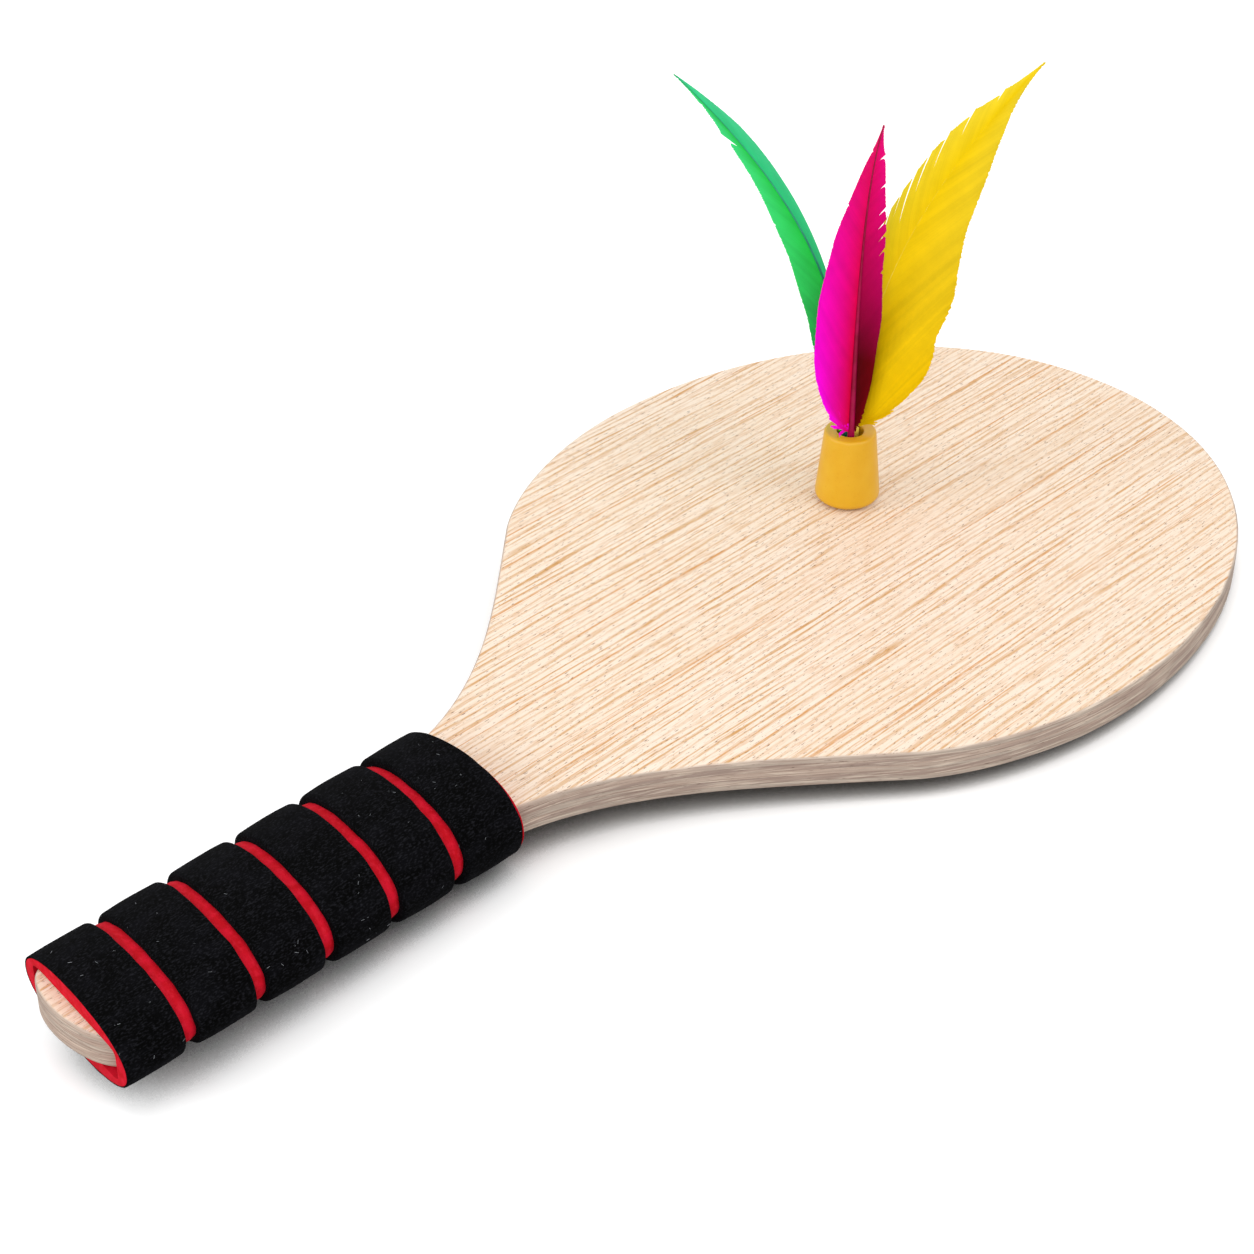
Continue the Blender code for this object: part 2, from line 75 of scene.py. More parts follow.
ARRIS_WAVES_PER_MM = 0.05
SHARP_EDGE = math.radians(40.0)


def bezier(share, start, pull_start, pull_end, end):
    """The point of a cubic Bezier span at a share of it, from 0 to 1."""
    rest = 1.0 - share
    first_half = start * rest**3 + pull_start * 3 * rest**2 * share
    return first_half + pull_end * 3 * rest * share**2 + end * share**3


def handle_drift(along):
    """How far the middle line of the handle is to the left at a place along the racket."""
    return HANDLE_DRIFT * max(0.0, (GRIP_FRONT - along) / (GRIP_FRONT - HANDLE_END))


def racket_outline():
    """The outline, counterclockwise from the tip."""
    left = []
    for span in OUTLINE_SPANS:
        for step in range(OUTLINE_STEPS):
            left.append(bezier(step / OUTLINE_STEPS, *map(Vector, span)))
    left.append(Vector(OUTLINE_SPANS[-1][-1]))
    right = [Vector((point.x, -point.y)) for point in reversed(left[1:-1])]
    return [Vector((point.x, point.y + handle_drift(point.x))) for point in left + right]


def skin_rings(shape, rings, closed=False):
    """Lay quads between rings of vertices, and from the last ring to the first where it is closed."""
    pairs = list(zip(rings, rings[1:]))
    if closed:
        pairs.append((rings[-1], rings[0]))
    for lower, upper in pairs:
        for index in range(len(lower)):
            after = (index + 1) % len(lower)
            face = shape.faces.new((lower[index], lower[after], upper[after], upper[index]))
            face.smooth = True


def finish_piece(name, shape, placed, material):
    """Turn a bmesh into a finished piece: put in place, with faces outwards and its material."""
    shape.transform(placed)
    bmesh.ops.recalc_face_normals(shape, faces=shape.faces)
    mesh = bpy.data.meshes.new(name)
    shape.to_mesh(mesh)
    shape.free()
    mesh.set_sharp_from_angle(angle=SHARP_EDGE)
    mesh.materials.append(material)
    piece = bpy.data.objects.new(name, mesh)
    bpy.context.scene.collection.objects.link(piece)
    return piece


def linear(hex_colour):
    """A linear RGBA colour from an sRGB hex value."""
    channels = []
    for start in (1, 3, 5):
        value = int(hex_colour[start:start + 2], 16) / 255
        channels.append(value / 12.92 if value <= 0.04045 else ((value + 0.055) / 1.055) ** 2.4)
    return (*channels, 1.0)


def add_node(tree, kind, inputs=None, **settings):
    """Add a node with its settings, and set or link its inputs by name or number."""
    node = tree.nodes.new(kind)
    for setting, value in settings.items():
        setattr(node, setting, value)
    for socket, value in (inputs or {}).items():
        if isinstance(value, bpy.types.NodeSocket):
            tree.links.new(value, node.inputs[socket])
        else:
            node.inputs[socket].default_value = value
    return node


def start_material(name, roughness, ior):
    """A new material with its shader's plain values set, its node tree and the shader."""
    material = bpy.data.materials.new(name)
    material.use_nodes = True
    tree = material.node_tree
    shader = tree.nodes["Principled BSDF"]
    shader.inputs["Roughness"].default_value = roughness
    shader.inputs["IOR"].default_value = ior
    return material, tree, shader


def racket_coordinates(tree, turn=0.0):
    """Object coordinates turned into the leaning racket's own length, width and thickness."""
    source = add_node(tree, "ShaderNodeTexCoord")
    turned = add_node(
        tree, "ShaderNodeMapping",
        {"Vector": source.outputs["Object"], "Location": RACKET_PLACE, "Rotation": (0.0, RACKET_LEAN, turn)},
        vector_type="TEXTURE",
    )
    return turned.outputs["Vector"]


def layered_colour(tree, place, ground, layers):
    """A linear colour or socket with layers of noise over it, and how strongly the last one comes in.

    A layer is its size along, across and through in millimetres, the noise values between which it
    comes in, its colour and its full strength.
    """
    colour = ground
    for size, low, high, layer_colour, strength in layers:
        scaled = add_node(
            tree, "ShaderNodeMapping", {"Vector": place, "Scale": [1 / (side * MM) for side in size]}
        )
        speck = add_node(
            tree, "ShaderNodeTexNoise",
            {"Vector": scaled.outputs[0], "Scale": 1.0, "Detail": 2.0, "Roughness": 0.55},
        )
        amount = add_node(
            tree, "ShaderNodeMapRange",
            {"Value": speck.outputs[0], "From Min": low, "From Max": high, "To Max": strength},
        )
        colour = add_node(
            tree, "ShaderNodeMix", {0: amount.outputs[0], 6: colour, 7: linear(layer_colour)},
            data_type="RGBA",
        ).outputs[2]
    return colour, amount.outputs[0]


# Sanded veneer, not varnished: cream wood with close straight lines of orange-tan summer growth and
# short dark pores on its face. Its sawn edge is greyer and darker, partly as sawn wood and partly as
# painted shade on the upright edge, and streaked along the layers of the wood.
LINE_SPACING = 2.05
LINE_RUN = 90.0
LINE_FADE_RUN = 35.0
WAVE_PERIOD = math.tau / 20  # one band of a wave texture, in the texture's own units
LINE_COLOUR = "#c28e4b"
FACE_GROUND = "#e8d6c3"
FACE_GRAIN = (
    ((280.0, 16.0, 16.0), 0.38, 0.66, "#e2c9ae", 0.50),
    ((200.0, 1.4, 1.4), 0.62, 0.67, "#c78638", 0.80),
    ((9.0, 0.5, 0.5), 0.54, 0.66, "#ca9967", 0.55),
    ((5.0, 0.4, 0.4), 0.50, 0.66, "#e8ddd1", 0.45),
    ((2.0, 0.34, 0.34), 0.62, 0.69, "#72441b", 0.90),
)
EDGE_GRAIN = (
    ((60.0, 60.0, 1.2), 0.42, 0.62, "#b79f8f", 0.80),
    ((22.0, 22.0, 0.28), 0.50, 0.66, "#8f776a", 0.75),
    ((12.0, 12.0, 0.40), 0.52, 0.68, "#dac9b6", 0.70),
    ((3.0, 3.0, 0.22), 0.64, 0.72, "#574030", 0.75),
)
FIBRE_DEPTH = 0.05


def veneer_material(name, turn, edge_ground_and_shade):
    """A sanded wood veneer whose grain is turned by an angle from the length of the racket."""
    material, tree, shader = start_material(name, roughness=0.58, ior=1.5)
    place = racket_coordinates(tree, turn)
    spaced = add_node(
        tree, "ShaderNodeMapping",
        {
            "Vector": place,
            "Scale": (1 / (LINE_RUN * MM), WAVE_PERIOD / (LINE_SPACING * MM), 1 / (LINE_RUN * MM)),
        },
    )
    lines = add_node(
        tree, "ShaderNodeTexWave",
        {"Vector": spaced.outputs[0], "Scale": 1.0, "Distortion": 8.0, "Detail": 2.0, "Detail Scale": 1.3},
        bands_direction="Y",
    )
    line = add_node(
        tree, "ShaderNodeMapRange", {"Value": lines.outputs["Fac"], "From Min": 0.48, "From Max": 0.98}
    )
    patchy = add_node(
        tree, "ShaderNodeMapping",
        {
            "Vector": place,
            "Scale": (1 / (LINE_FADE_RUN * MM), 1 / (LINE_SPACING * MM), 1 / (LINE_SPACING * MM)),
        },
    )
    faded = add_node(
        tree, "ShaderNodeTexNoise", {"Vector": patchy.outputs[0], "Scale": 1.0, "Detail": 2.0}
    )
    strength = add_node(
        tree, "ShaderNodeMapRange",
        {"Value": faded.outputs[0], "From Min": 0.32, "From Max": 0.62, "To Min": 0.2, "To Max": 1.0},
    )
    summer = add_node(
        tree, "ShaderNodeMath", {0: line.outputs[0], 1: strength.outputs[0]}, operation="MULTIPLY"
    )
    lined = add_node(
        tree, "ShaderNodeMix",
        {0: summer.outputs[0], 6: linear(FACE_GROUND), 7: linear(LINE_COLOUR)}, data_type="RGBA",
    )
    face, hollows = layered_colour(tree, place, lined.outputs[2], FACE_GRAIN)
    # The edge's ground is darker than the face partly for sawn wood and partly as painted shade.
    sawn_and_shaded, _ = layered_colour(tree, place, linear(edge_ground_and_shade), EDGE_GRAIN)
    edge = add_node(tree, "ShaderNodeAttribute", attribute_name="sawn_edge")
    colour = add_node(
        tree, "ShaderNodeMix", {0: edge.outputs["Fac"], 6: face, 7: sawn_and_shaded}, data_type="RGBA"
    )
    tree.links.new(colour.outputs[2], shader.inputs["Base Color"])
    bump = add_node(
        tree, "ShaderNodeBump",
        {"Height": hollows, "Strength": 0.5, "Distance": FIBRE_DEPTH * MM}, invert=True,
    )
    tree.links.new(bump.outputs[0], shader.inputs["Normal"])
    return material


# Edge grounds: darker partly as sawn wood and partly as painted shade on the edge.
face_wood = veneer_material("sanded_straight_grain_veneer", 0.0, "#ac9c8e")
cross_wood = veneer_material("sanded_crossband_veneer", math.pi / 2, "#9b877b")


def build_veneer(name, top, bottom, rounded, material):
    """One veneer, with its upper (1) or lower (-1) edge sanded round, or neither (0).

    An attribute tells its sawn edge from its face.
    """
    outline = racket_outline()
    outward = []
    for index in range(len(outline)):
        run = outline[(index + 1) % len(outline)] - outline[index - 1]
        outward.append(Vector((run.y, -run.x)).normalized())
    levels = [(0.0, bottom, 1.0), (0.0, top, 1.0)]
    if rounded:
        levels = [(0.0, bottom if rounded > 0 else top, 1.0)]
        for step in range(ARRIS_STEPS + 1):
            turn = math.pi / 2 * step / ARRIS_STEPS
            sawn_and_shaded = min(1.0, 2.0 - 2.0 * step / ARRIS_STEPS)
            levels.append((1.0 - math.cos(turn), math.sin(turn) - 1.0, sawn_and_shaded))
    shape = bmesh.new()
    sawn_edge = shape.verts.layers.float.new("sawn_edge")
    rings = []
    for number, (inset, height, sawn_and_shaded) in enumerate(levels):
        ring = []
        for point, away in zip(outline, outward):
            radius = ARRIS_RADIUS * (1.0 + ARRIS_WANDER * noise.noise((*point * ARRIS_WAVES_PER_MM, top)))
            level = height
            if rounded and number:
                level = (top if rounded > 0 else bottom) + rounded * radius * height
            side = point - away * inset * radius
            corner = shape.verts.new((side.x, side.y, level))
            corner[sawn_edge] = sawn_and_shaded
            ring.append(corner)
        rings.append(ring)
    skin_rings(shape, rings)
    shape.faces.new(rings[0])
    shape.faces.new(rings[-1])
    return finish_piece(name, shape, racket, material)


for index, ply_name in enumerate(PLY_NAMES):
    outer = {0: 1, len(PLY_NAMES) - 1: -1}.get(index, 0)
    ply_top = -index * PLY_PITCH
    ply_bottom = max(ply_top - PLY_THICKNESS, -BLADE_THICKNESS)
    wood = cross_wood if index % 2 else face_wood
    ply = build_veneer(f"{ply_name}_sanded", ply_top, ply_bottom, outer, wood)
    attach(ply, "racket")
    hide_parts(ply_name)


# Red sleeve: a thick oval tube of closed-cell foam, stretched over the handle. It swells a little
# where a groove in the black skin lets it, and its cut end shows round the butt of the handle.
BLADE_MIDDLE = -4.425
GRIP_LENGTH = 114.1
BAND_COUNT = 6
GROOVE_WIDTH = 3.5
BAND_LENGTH = (GRIP_LENGTH - (BAND_COUNT - 1) * GROOVE_WIDTH) / BAND_COUNT
SLOT_HALF_WIDTH = 18.04
SLOT_HALF_HEIGHT = 4.725
SLOT_SQUARENESS = 9.0
SLEEVE_HALF_WIDTH = 20.24
SLEEVE_HALF_HEIGHT = 11.225
GRIP_FLATTENING = 0.294
GRIP_SKEW = 0.12
OVAL_FULLNESS = 0.61
OVAL_STEPS = 40
SLEEVE_STEPS = 114
SLEEVE_EDGE = 0.4
SLEEVE_EDGE_STEPS = 3
GROOVE_SWELL = 0.40
WRINKLE_DEPTH = 0.24
WRINKLES_PER_MM_ALONG = 0.2
WRINKLES_PER_MM_ROUND = 0.6
END_FLARE = 2.0
END_FLARE_RUN = 3.5
CELL_DEPTH = 0.06


def grip_point(back, lateral, height, on_slot=False):
    """A point of the grip in the racket's frame, from its distance behind the grip's front end."""
    share = back / GRIP_LENGTH
    if not on_slot:
        height *= 1.0 - GRIP_FLATTENING * share
    skew = GRIP_SKEW * min(1.0, max(0.0, share * BAND_COUNT)) * lateral
    along = GRIP_FRONT - back
    return Vector((along + skew, lateral + handle_drift(along), BLADE_MIDDLE + height))


def sleeve_oval():
    """The oval of the sleeve as (point, outward direction) pairs of (lateral, height)."""
    knots = ((1, 0), (0, 1), (-1, 0), (0, -1))
    size = Vector((SLEEVE_HALF_WIDTH, SLEEVE_HALF_HEIGHT))
    points = []
    for index in range(len(knots)):
        here = Vector(knots[index])
        there = Vector(knots[(index + 1) % len(knots)])
        span = (here, here + there * OVAL_FULLNESS, there + here * OVAL_FULLNESS, there)
        for step in range(OVAL_STEPS):
            points.append(bezier(step / OVAL_STEPS, *span) * size)
    pairs = []
    for index, point in enumerate(points):
        run = points[(index + 1) % len(points)] - points[index - 1]
        pairs.append((point, Vector((run.y, -run.x)).normalized()))
    return pairs


def groove_share(back):
    """1 in the middle of a groove between two bands, and 0 at its edges and under a band."""
    inside = back % (BAND_LENGTH + GROOVE_WIDTH) - BAND_LENGTH
    if inside <= 0.0 or back > GRIP_LENGTH:
        return 0.0
    return 1.0 - (2.0 * inside / GROOVE_WIDTH - 1.0) ** 2


def end_flare(back):
    """How far the foam spreads outwards at the cut ends of the grip, where the skin thins out."""
    short = 1.0 - min(back, GRIP_LENGTH - back) / END_FLARE_RUN
    return END_FLARE * max(0.0, short) ** 2


# Closed-cell foam rubber, moulded and then stretched: a dry matte red with pinprick cells, and paler
# patches at random that are painted light: a little painted soft light inside and painted highlights.
red_foam, tree, shader = start_material("red_closed_cell_foam", roughness=0.72, ior=1.45)
shader.inputs["Specular IOR Level"].default_value = 0.1
red, cells = layered_colour(
    tree, racket_coordinates(tree), linear("#b80719"),
    (
        # The two paler layers are painted soft light and painted highlights; the dark specks are the cells.
        ((4.0, 2.5, 2.5), 0.40, 0.66, "#cd102b", 0.80),
        ((0.8, 1.6, 1.6), 0.50, 0.70, "#d22437", 0.45),
        ((0.35, 0.35, 0.35), 0.56, 0.72, "#9b0515", 0.50),
    ),
)
tree.links.new(red, shader.inputs["Base Color"])
bump = add_node(
    tree, "ShaderNodeBump", {"Height": cells, "Strength": 0.4, "Distance": CELL_DEPTH * MM}, invert=True
)
tree.links.new(bump.outputs[0], shader.inputs["Normal"])


def build_sleeve():
    """The sleeve as one closed tube: outside, butt end, slot and front end."""
    oval = sleeve_oval()
    shape = bmesh.new()
    rings = []
    stations = [(SLEEVE_EDGE * (1 - math.cos(math.pi / 2 * step / SLEEVE_EDGE_STEPS)),
                 SLEEVE_EDGE * (1 - math.sin(math.pi / 2 * step / SLEEVE_EDGE_STEPS)))
                for step in range(SLEEVE_EDGE_STEPS)]
    run = GRIP_LENGTH - 2 * SLEEVE_EDGE
    middle = [(SLEEVE_EDGE + run * step / SLEEVE_STEPS, 0.0) for step in range(SLEEVE_STEPS + 1)]
    stations = stations + middle + [(GRIP_LENGTH - back, inset) for back, inset in reversed(stations)]
    for back, inset in stations:
        ring = []
        swell = groove_share(back)
        for point, away in oval:
            crease = noise.noise((back * WRINKLES_PER_MM_ALONG, *point * WRINKLES_PER_MM_ROUND))
            lift = swell * (GROOVE_SWELL + WRINKLE_DEPTH * crease) + end_flare(back) - inset
            side = point + away * lift
            ring.append(shape.verts.new(grip_point(back, side.x, side.y)))
        rings.append(ring)
    for back in (GRIP_LENGTH, 0.0):
        ring = []
        for point, _ in oval:
            reach = (
                abs(point.x / SLOT_HALF_WIDTH) ** SLOT_SQUARENESS
                + abs(point.y / SLOT_HALF_HEIGHT) ** SLOT_SQUARENESS
            ) ** (-1 / SLOT_SQUARENESS)
            ring.append(shape.verts.new(grip_point(back, point.x * reach, point.y * reach, on_slot=True)))
        rings.append(ring)
    skin_rings(shape, rings, closed=True)
    return finish_piece("grip_sleeve_foam", shape, racket, red_foam)


sleeve = build_sleeve()
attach(sleeve, "racket")
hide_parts("grip_sleeve")


# Black skin: six bands of soft foam round the sleeve, faced with a short dark nap. The grooves
# between them are cut through to the red, so each band has rounded lips and a slightly full middle.
BAND_WALL = 2.3
BAND_FOOT = 0.02
BAND_LIP = 1.1
CUT_LIP = 0.35
BAND_LIP_STEPS = 6
BAND_FLAT_STEPS = 12
BAND_CROWN = 0.16
BAND_UNEVEN = 0.14
UNEVEN_PER_MM_ALONG = 0.12
UNEVEN_PER_MM_ROUND = 0.16
LIP_WANDER = 0.22
LIP_WAVES_PER_MM = 0.22
FRONT_SETBACK = 0.7
NAP_DEPTH = 0.15

# Napped foam: almost black and fully matte, with the short fibres catching a cool grey light at
# glancing angles and in faint patches. The nap is drawn coarser than it is, so that it shows.
black_foam, tree, shader = start_material("black_napped_foam", roughness=0.95, ior=1.45)
shader.inputs["Specular IOR Level"].default_value = 0.04
shader.inputs["Sheen Weight"].default_value = 0.02
shader.inputs["Sheen Roughness"].default_value = 0.45
shader.inputs["Sheen Tint"].default_value = linear("#8e8e99")
black, nap = layered_colour(
    tree, racket_coordinates(tree), linear("#030303"),
    (
        ((9.0, 5.0, 5.0), 0.45, 0.70, "#0a0a0d", 0.80),
        ((0.9, 0.35, 0.35), 0.50, 0.74, "#26262b", 0.60),
    ),
)
tree.links.new(black, shader.inputs["Base Color"])
bump = add_node(tree, "ShaderNodeBump", {"Height": nap, "Strength": 0.6, "Distance": NAP_DEPTH * MM})
tree.links.new(bump.outputs[0], shader.inputs["Normal"])


def band_profile(front_lip, rear_lip):
    """The section of a band as (distance along it, height above the sleeve), front lip first."""
    points = [(0.0, BAND_FOOT)]
    for step in range(BAND_LIP_STEPS):
        turn = math.pi / 2 * step / BAND_LIP_STEPS
        points.append((front_lip * (1 - math.cos(turn)), BAND_WALL - front_lip * (1 - math.sin(turn))))
    flat = BAND_LENGTH - front_lip - rear_lip
    for step in range(BAND_FLAT_STEPS + 1):
        share = step / BAND_FLAT_STEPS
        crown = BAND_CROWN * (1.0 - (2.0 * share - 1.0) ** 2)
        points.append((front_lip + flat * share, BAND_WALL + crown))
    for step in reversed(range(BAND_LIP_STEPS)):
        turn = math.pi / 2 * step / BAND_LIP_STEPS
        along = BAND_LENGTH - rear_lip * (1 - math.cos(turn))
        points.append((along, BAND_WALL - rear_lip * (1 - math.sin(turn))))
    points.append((BAND_LENGTH, BAND_FOOT))
    return points


def build_band(index):
    """One band, swept round the sleeve, with the slight unevenness of soft foam.

    Its ends wander where they are cut by a groove, and follow the sleeve at the ends of the grip. The
    first band stops short of the sleeve at the right.
    """
    oval = sleeve_oval()
    shape = bmesh.new()
    rings = []
    start = index * (BAND_LENGTH + GROOVE_WIDTH)
    front_lip = CUT_LIP if index == 0 else BAND_LIP
    rear_lip = CUT_LIP if index == BAND_COUNT - 1 else BAND_LIP
    for along, height in band_profile(front_lip, rear_lip):
        ring = []
        share = along / BAND_LENGTH
        for point, away in oval:
            back = start + along
            if round(back, 3) not in (0.0, round(GRIP_LENGTH, 3)):
                back += LIP_WANDER * noise.noise((*point * LIP_WAVES_PER_MM, start + round(share)))
            if index == 0:
                back += FRONT_SETBACK * (1.0 - share) * max(0.0, -point.x / SLEEVE_HALF_WIDTH)
            lift = height
            if height > BAND_FOOT:
                across, up = point * UNEVEN_PER_MM_ROUND
                lift += BAND_UNEVEN * noise.noise((back * UNEVEN_PER_MM_ALONG, across, up + index))
            side = point + away * max(lift, BAND_FOOT + end_flare(back))
            ring.append(shape.verts.new(grip_point(back, side.x, side.y)))
        rings.append(ring)
    skin_rings(shape, rings, closed=True)
    return finish_piece(f"grip_band_{index + 1}_foam", shape, racket, black_foam)


# Lint: short pale cotton fibres off clothes and hands, caught here and there in the nap of the black
# foam. They lie flat on it, and the nap alone holds them. They are drawn thicker than they are, to show.
LINT_DENSITY = 0.009
LINT_LENGTH = 0.8
LINT_SHORTEST = 0.4
LINT_LONGEST = 1.2
LINT_RADIUS = 0.05
LINT_SEED = 5
caught_lint, tree, shader = start_material("caught_cotton_lint", roughness=0.9, ior=1.5)
source = add_node(tree, "ShaderNodeTexCoord")
pale, _ = layered_colour(
    tree, source.outputs["Object"], linear("#4d5054"), (((3.0, 3.0, 3.0), 0.40, 0.60, "#909397", 1.0),)
)
tree.links.new(pale, shader.inputs["Base Color"])


def lint_tree():
    """Geometry nodes that leave only short fibres, strewn flat over the faces given."""
    tree = bpy.data.node_groups.new("caught_lint", "GeometryNodeTree")
    tree.interface.new_socket("Geometry", in_out="INPUT", socket_type="NodeSocketGeometry")
    for name in ("Fibres per Area", "Fibre Length", "Fibre Radius"):
        tree.interface.new_socket(name, in_out="INPUT", socket_type="NodeSocketFloat")
    tree.interface.new_socket("Seed", in_out="INPUT", socket_type="NodeSocketInt")
    tree.interface.new_socket("Fibre Material", in_out="INPUT", socket_type="NodeSocketMaterial")
    tree.interface.new_socket("Geometry", in_out="OUTPUT", socket_type="NodeSocketGeometry")
    given = add_node(tree, "NodeGroupInput")
    spots = add_node(
        tree, "GeometryNodeDistributePointsOnFaces",
        {
            "Mesh": given.outputs["Geometry"], "Density": given.outputs["Fibres per Area"],
            "Seed": given.outputs["Seed"],
        },
    )
    fibre = add_node(
        tree, "GeometryNodeMeshCylinder",
        {"Vertices": 4, "Radius": given.outputs["Fibre Radius"], "Depth": given.outputs["Fibre Length"]},
    )
    lying = add_node(
        tree, "GeometryNodeTransform",
        {"Geometry": fibre.outputs["Mesh"], "Rotation": (math.pi / 2, 0.0, 0.0)},
    )
    size = add_node(
        tree, "FunctionNodeRandomValue",
        {2: LINT_SHORTEST, 3: LINT_LONGEST, "Seed": given.outputs["Seed"]}, data_type="FLOAT",
    )
    strewn = add_node(
        tree, "GeometryNodeInstanceOnPoints",
        {
            "Points": spots.outputs["Points"], "Instance": lying.outputs["Geometry"],
            "Rotation": spots.outputs["Rotation"], "Scale": size.outputs[1],
        },
    )
    spin = add_node(
        tree, "FunctionNodeRandomValue",
        {0: (0.0, 0.0, 0.0), 1: (0.0, 0.0, math.tau), "Seed": given.outputs["Seed"]},
        data_type="FLOAT_VECTOR",
    )
    turned = add_node(
        tree, "GeometryNodeRotateInstances",
        {"Instances": strewn.outputs["Instances"], "Rotation": spin.outputs[0]},
    )
    real = add_node(tree, "GeometryNodeRealizeInstances", {"Geometry": turned.outputs["Instances"]})
    dressed = add_node(
        tree, "GeometryNodeSetMaterial",
        {"Geometry": real.outputs["Geometry"], "Material": given.outputs["Fibre Material"]},
    )
    add_node(tree, "NodeGroupOutput", {"Geometry": dressed.outputs["Geometry"]})
    return tree


def grow(name, mesh, tree, values):
    """Run a geometry node tree on a mesh with the named input values, and keep the plain result."""
    piece = bpy.data.objects.new(name, mesh)
    bpy.context.scene.collection.objects.link(piece)
    modifier = piece.modifiers.new(tree.name, "NODES")
    modifier.node_group = tree
    for item in tree.interface.items_tree:
        if item.in_out == "INPUT" and item.name in values:
            modifier[item.identifier] = values[item.name]
    evaluated = piece.evaluated_get(bpy.context.evaluated_depsgraph_get())
    grown = bpy.data.meshes.new_from_object(evaluated)
    piece.modifiers.clear()
    piece.data = grown
    grown.name = name
    return piece


strewing = lint_tree()
for index in range(BAND_COUNT):
    band = build_band(index)
    lint = grow(
        f"grip_band_{index + 1}_lint", band.data.copy(), strewing,
        {
            "Fibres per Area": LINT_DENSITY / MM**2,
            "Fibre Length": LINT_LENGTH * MM,
            "Fibre Radius": LINT_RADIUS * MM,
            "Seed": LINT_SEED + index,
            "Fibre Material": caught_lint,
        },
    )
    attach(lint, "racket")
    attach(band, "racket")
    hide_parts(f"grip_band_{index + 1}")


# Rubber base: a blunt, tapered plug of soft yellow rubber, moulded in one piece, with a blind socket
# for the quills in its top. It stands loose on the blade.
SHUTTLE_PLACE = (10.2, 15.7, 0.3)
shuttle = racket @ Matrix.Translation(SHUTTLE_PLACE)
FOOT_RADIUS = 9.1
RIM_RADIUS = 7.3
BASE_HEIGHT = 21.5
FOOT_FILLET = 2.2
RIM_FILLET = 0.8
SOCKET_RADIUS = 3.65
SOCKET_DEPTH = 13.0
SOCKET_LIP = 0.5
TURNING_STEPS = 96
FILLET_STEPS = 8
MARK_DEPTH = 0.05

# Moulded rubber: warm yellow, smooth and slightly waxy, with light that sinks in a little, and faint
# marks and dust from handling.
yellow_rubber, tree, shader = start_material("moulded_yellow_rubber", roughness=0.36, ior=1.52)
shader.inputs["Specular IOR Level"].default_value = 0.35
shader.inputs["Subsurface Weight"].default_value = 0.2
shader.inputs["Subsurface Radius"].default_value = (0.0030, 0.0016, 0.0005)
source = add_node(tree, "ShaderNodeTexCoord")
yellow, marks = layered_colour(
    tree, source.outputs["Object"], linear("#cf9d15"),
    (((6.0, 6.0, 6.0), 0.35, 0.70, "#d2a31e", 1.0), ((0.7, 0.7, 0.7), 0.60, 0.75, "#c48d0d", 0.40)),
)
tree.links.new(yellow, shader.inputs["Base Color"])
bump = add_node(tree, "ShaderNodeBump", {"Height": marks, "Strength": 0.15, "Distance": MARK_DEPTH * MM})
tree.links.new(bump.outputs[0], shader.inputs["Normal"])


def fillet(centre, radius, start, end):
    """Points of a rounding in a turned profile, from one angle to another."""
    points = []
    for step in range(FILLET_STEPS + 1):
        turn = start + (end - start) * step / FILLET_STEPS
        points.append((centre[0] + radius * math.cos(turn), centre[1] + radius * math.sin(turn)))
    return points


def build_base():
    """The base, turned about its axis from a profile of (radius, height) points."""
    socket_floor = BASE_HEIGHT - SOCKET_DEPTH
    lip_centre = (SOCKET_RADIUS + SOCKET_LIP, BASE_HEIGHT - SOCKET_LIP)
    profile = [(SOCKET_RADIUS, socket_floor)]
    profile += fillet(lip_centre, SOCKET_LIP, math.pi, math.pi / 2)
    profile += fillet((RIM_RADIUS - RIM_FILLET, BASE_HEIGHT - RIM_FILLET), RIM_FILLET, math.pi / 2, 0.0)
    profile += fillet((FOOT_RADIUS - FOOT_FILLET, FOOT_FILLET), FOOT_FILLET, 0.0, -math.pi / 2)
    shape = bmesh.new()
    rings = []
    for radius, height in profile:
        ring = []
        for step in range(TURNING_STEPS):
            turn = math.tau * step / TURNING_STEPS
            ring.append(shape.verts.new((radius * math.cos(turn), radius * math.sin(turn), height)))
        rings.append(ring)
    skin_rings(shape, rings)
    shape.faces.new(rings[0])
    shape.faces.new(rings[-1])
    return finish_piece("shuttle_base_rubber", shape, shuttle, yellow_rubber)


base = build_base()
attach(base, "shuttlecock")
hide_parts("shuttle_base")


# Glue plug: clear amber glue, poured into the socket of the base round the ends of the quills. It has
# set hard a little below the rim, and is all that holds the feathers.

# Set glue: smooth and glossy, with some cloudiness in its amber.
set_glue, tree, shader = start_material("set_amber_glue", roughness=0.25, ior=1.5)
source = add_node(tree, "ShaderNodeTexCoord")
amber, _ = layered_colour(
    tree, source.outputs["Object"], linear("#9b6019"), (((1.5, 1.5, 1.5), 0.35, 0.65, "#b97f30", 1.0),)
)
tree.links.new(amber, shader.inputs["Base Color"])
glue_plug = frame["nodes"]["quill_glue_plug"]
glue_plug.data.materials.clear()
glue_plug.data.materials.append(set_glue)


# Feathers: three dyed wing feathers, a third of a turn apart. Each is a tapered quill with a vane of
# fine barbs on either side, which cling together, part here and there at the edge, and fray loose near
# the base.
QUILL_CIRCLE = 1.75
QUILL_RADIUS = 1.0
QUILL_TIP_RADIUS = 0.12
QUILL_TAPER = 1.7
QUILL_CLEARANCE = 0.3
QUILL_END = BASE_HEIGHT - SOCKET_DEPTH + QUILL_CLEARANCE
QUILL_STEPS = 40
QUILL_SIDES = 10
QUILL_RISE_SHARE = 0.12
VANE_START = 3.0
VANE_SWELL = 0.65
POINTED_SHARE = 0.14
ROOT_CUP = math.radians(36.0)
TIP_CUP = math.radians(16.0)

